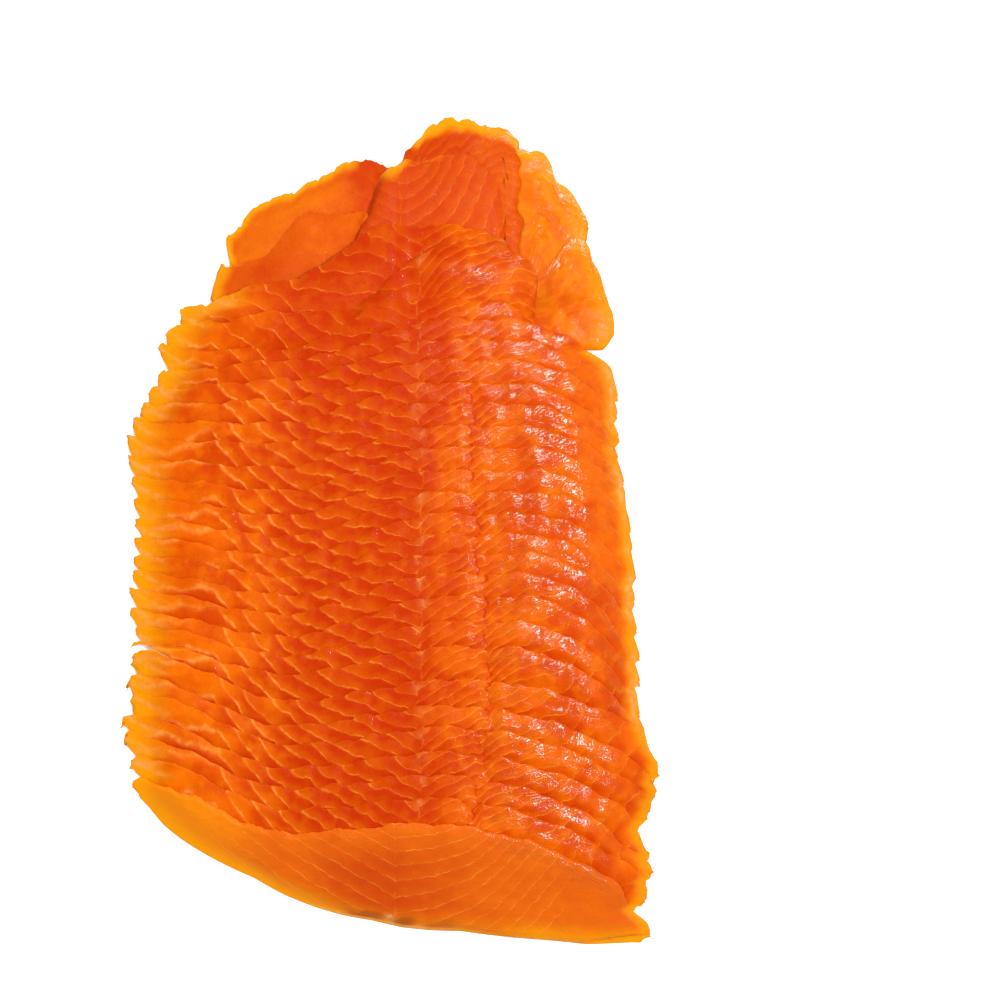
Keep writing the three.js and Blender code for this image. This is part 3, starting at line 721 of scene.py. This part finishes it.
def lay_slice(cut, material):
    """One slice: a closed sheet of flesh, laid over the ones below it."""
    rows = rows_shown(cut)
    mesh = flat_sheet(cut, rows + HIDDEN_ROWS)
    flat = np.empty(len(mesh.vertices) * 3)
    mesh.vertices.foreach_get("co", flat)
    across, up, upper = flat.reshape(-1, 3).T
    x = cut["left"] + (across + 0.5) * (cut["right"] - cut["left"])
    top = cut_edge(cut, x)
    full = top - lower_edge(cut, x, top)
    cover = covering_edge(cut, x)
    band = np.clip(top - cover, np.minimum(1.4, 0.7 * full), 0.7 * full)
    reach = np.minimum(band + 2.0, 0.94 * full)
    if cut["layer"] == FRONT_LAYER:
        reach = full

    # Most rows lie where the slice shows, the closer the nearer its edge, and a few under the next
    share = 0.5 - up
    seen_share = rows / (rows + HIDDEN_ROWS) if cut["layer"] < FRONT_LAYER else 1.0
    inner = np.clip(share / seen_share, 0, 1)
    depth = reach * inner**1.2
    if seen_share < 1:
        depth = depth + (full - reach) * np.clip((share - seen_share) / (1 - seen_share), 0, 1)
    y = top - depth

    # The open ends are thin, apart from those of the lowest tail pieces
    thickness = cut_thickness(cut, x, depth, full, band)
    end = np.minimum(x - cut["left"], cut["right"] - x)
    if cut["name"] in ("tail_end", "tail_trim", "tail_flap"):
        end = np.full_like(x, 9.0)
    thickness = thickness * blend(0.35, 1, np.sqrt(np.clip(end / np.where(x < 0, 1.5, 5), 0, 1)))

    # The trim laps a little over the tail end, and the fold over the tongue of the trim, so no gap
    # is left between them
    lap = np.zeros_like(x)
    if cut["name"] == "tail_end":
        thickness = thickness * blend(0.3, 1, ease(0, 5, cut["right"] - x))
    if cut["name"] == "tail_trim":
        lap = 1 - ease(0, 4, x - cut["left"])
        thickness = thickness * blend(1, 0.35, lap)
    if cut["name"] == "tail_fold":
        lap = 1 - ease(0, 3, x - cut["left"])

    # Relief only where the slice lies open
    count = seam_count(cut, x, depth)
    tear = np.full_like(x, 50.0)
    if cut["layer"] in TORN_LAYERS:
        tear = x - tear_place(cut, y)
    open_to_air = ease(0, 2.0, y - cover) * ease(0, 1.5, depth) * ease(0, 3, end)
    thinnest = 0.6 if cut["name"] in FATTY_PIECES else 0.02
    thickness = np.maximum(thickness + open_to_air * settled_relief(cut, x, y, count, tear), thinnest)

    # The open ends are torn, not cut, and most at the front
    ragged = 0.6 * ripple(y, 6.5, cut["seed"] + 21) + 0.55 * ripple(y, 2.4, cut["seed"] + 22)
    ragged = ragged * np.where(x > 0, np.where(y > -76, 0.35, 1), np.where(y > -50, 0.5, 1))
    near_left = 1 - ease(0, 6, x - cut["left"])
    near_right = 1 - ease(0, 6, cut["right"] - x)
    if cut["layer"] < 2 and cut["name"] != "tail_fold":
        near_left = 0
        near_right = 1.6 * near_right if cut["name"] == "tail_trim" else 0
    if cut["name"] == "tail_face":
        near_right = 0.2 * near_right
    sideways = ragged * (near_left + near_right) - lap * np.where(cut["layer"] == 0, 2.4, 3.6)

    # Height over the table: thin at the open edges, and pressed down where the tail slices droop
    z = underside(cut["layer"], x, y) + np.where(upper > 0.5, thickness, 0)
    if cut["name"] == "tail_trim":
        z = z + 1.4 * lap
    margin = np.minimum(x - np.interp(y, outline_y, soft_left), np.interp(y, outline_y, soft_right) - x)
    z = z * blend(0.22, 1, ease(-2, 16, margin) ** 0.8)
    if cut["name"] == "slice_04":
        dome = np.clip(1 - ((x - 24) / 22) ** 2 - ((y - 104) / 12) ** 2, 0, 1)
        z = z + 2.4 * dome**1.2 * (upper > 0.5)
    if cut["name"] == "tail_flap":
        sideways = sideways + 0.5 * (1 - ease(0, 3, cut["right"] - x))
    if cut["name"] == "tail_face":
        z = z - 3.05 * (1 - ease(0, 8, depth)) * ease(120, 128, y) * (1 - ease(-1, 8, x))
        z = np.maximum(z - 1.2 * (1 - ease(0, 4, cut["right"] - x)), 0)
    shift_x, shift_y = spread_out(x, y)
    place = np.stack([x + sideways + shift_x - PLAN_CENTRE[0], y + shift_y - PLAN_CENTRE[1], z], 1) / 1000
    mesh.vertices.foreach_set("co", place.ravel())

    notes = flesh_notes(cut, x, y, depth, depth / full, y - cover, tear, count)
    for key, values in notes.items():
        stored = mesh.attributes.new(key, "FLOAT_VECTOR", "POINT")
        values = np.stack(np.broadcast_arrays(*values), 1).astype(np.float32)
        stored.data.foreach_set("vector", values.ravel())

    for face in mesh.polygons:
        face.use_smooth = True
    mesh.materials.append(material)
    piece = bpy.data.objects.new("salmon_" + cut["name"], mesh)
    bpy.context.scene.collection.objects.link(piece)
    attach(piece, "root")
    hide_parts(cut["name"])


# The tail
# The first five cuts, laid flat or folded over: thin see-through flesh with more fat in it, so it
# is more golden than the loin, and its seams are faint.
TAIL_ORANGE = "#E8660C"
TAIL_RED = "#CC3A04"
tail_flesh = sliced_flesh(
    "cold_smoked_salmon_tail_thin_cut", TAIL_ORANGE, TAIL_RED, line_strength=0.28, mottling=0.45
)
for cut in cuts[:5]:
    lay_slice(cut, tail_flesh)


# The long cut face
# A slice that shows almost its whole upper end over the tail. The blade left it smooth and satin,
# with fine seams in nested curves.
SMOOTH_ORANGE = "#E85C10"
SMOOTH_RED = "#D0400A"
smooth_flesh = sliced_flesh(
    "cold_smoked_salmon_long_cut_face", SMOOTH_ORANGE, SMOOTH_RED, line_strength=0.5, mottling=0.3
)
lay_slice(cuts[5], smooth_flesh)


# The slices of the loin and belly
# The fan itself, each slice laid on the one before: thick muscle of the back to the right, with the
# smoked skin side glossy along the edges, and the thin golden belly to the left.
LOIN_ORANGE = "#EC6000"
loin_flesh = sliced_flesh(
    "cold_smoked_salmon_loin_sliced", LOIN_ORANGE, DEEP_RED, line_strength=0.75, mottling=1.0
)
for cut in cuts[6:-1]:
    lay_slice(cut, loin_flesh)


# The front slice
# The last cut, on top of all others. Its whole satin face shows, with the brown and cream flank fat
# that lay against the skin at its lower edge.
FRONT_ORANGE = "#EE6E10"
FRONT_RED = "#CA3E0C"
front_flesh = sliced_flesh(
    "cold_smoked_salmon_front_cut_face", FRONT_ORANGE, FRONT_RED, line_strength=0.7, mottling=0.3
)
lay_slice(cuts[-1], front_flesh)


# The table under the side
# A plain sheet of matt white paper, wide enough to fill every view. It glows a little, so that it
# stays white in the shade of the side.
SHEET_HALF_WIDTH = 3.0
PAPER_WHITE = "#F8F8F6"
sheet_mesh = bpy.data.meshes.new("white_paper_sheet")
sheet_shape = bmesh.new()
bmesh.ops.create_grid(sheet_shape, x_segments=1, y_segments=1, size=SHEET_HALF_WIDTH)
sheet_shape.to_mesh(sheet_mesh)
sheet_shape.free()
paper = bpy.data.materials.new("white_matt_paper")
paper.use_nodes = True
paper_shader = paper.node_tree.nodes["Principled BSDF"]
paper_shader.inputs["Base Color"].default_value = linear(PAPER_WHITE)
paper_shader.inputs["Roughness"].default_value = 0.9
paper_shader.inputs["Specular IOR Level"].default_value = 0.1
paper_shader.inputs["Emission Color"].default_value = (1, 1, 1, 1)
paper_shader.inputs["Emission Strength"].default_value = 0.3
sheet_mesh.materials.append(paper)
sheet = bpy.data.objects.new("white_paper_sheet", sheet_mesh)
bpy.context.scene.collection.objects.link(sheet)


# Soft studio light
# Two small soft panels high on the right give the gloss on the back. Three wide ones fill the rest
# and are kept out of the gloss.
GLOSSY_LIGHTS = ("right_panel", "upper_right_panel")

# Bearing from the tail and height in degrees, distance and size in metres, and power in watts
LIGHTS = [
    ("right_panel", 74, 67, 1.5, 0.36, 13.5),
    ("upper_right_panel", 45, 62, 1.5, 0.4, 8.0),
    ("lower_right_panel", 140, 32, 1.6, 0.9, 1.5),
    ("lower_left_panel", 235, 34, 1.6, 0.9, 5.5),
    ("upper_left_panel", 320, 50, 1.6, 0.9, 5.2),
]
for name, bearing, height, distance, size, power in LIGHTS:
    lamp = bpy.data.lights.new(name, "AREA")
    lamp.shape = "SQUARE"
    lamp.size = size
    lamp.energy = power
    lamp_object = bpy.data.objects.new(name, lamp)
    turn, tilt = math.radians(bearing), math.radians(height)
    lamp_object.location = (
        distance * math.cos(tilt) * math.sin(turn),
        distance * math.cos(tilt) * math.cos(turn),
        distance * math.sin(tilt),
    )
    lamp_object.rotation_euler = (math.pi / 2 - tilt, 0, math.pi - turn)
    lamp_object.visible_glossy = name in GLOSSY_LIGHTS
    bpy.context.scene.collection.objects.link(lamp_object)
world = bpy.data.worlds.new("studio_room")
world.use_nodes = True
world.node_tree.nodes["Background"].inputs["Color"].default_value = (1, 1, 1, 1)
world.node_tree.nodes["Background"].inputs["Strength"].default_value = 0.1
bpy.context.scene.world = world
bpy.context.scene.view_settings.view_transform = "Standard"


# Camera
# Straight above the side, 1.25 m over the mean height of its flesh and with a long lens, as the
# photograph was taken. The side stands left of the middle of the view.
VIEW_MIDDLE = (0.0443, 0.0121)
VIEW_WIDTH = 0.4
CAMERA_HEIGHT = 1.25
FLESH_HEIGHT = 0.008
SENSOR_WIDTH = 36.0
camera = bpy.data.objects.new("camera", bpy.data.cameras.new("camera"))
camera.data.sensor_width = SENSOR_WIDTH
camera.data.lens = SENSOR_WIDTH * CAMERA_HEIGHT / VIEW_WIDTH
camera.location = (*VIEW_MIDDLE, CAMERA_HEIGHT + FLESH_HEIGHT)
camera.rotation_euler = (0, 0, 0)
bpy.context.scene.collection.objects.link(camera)
bpy.context.scene.camera = camera
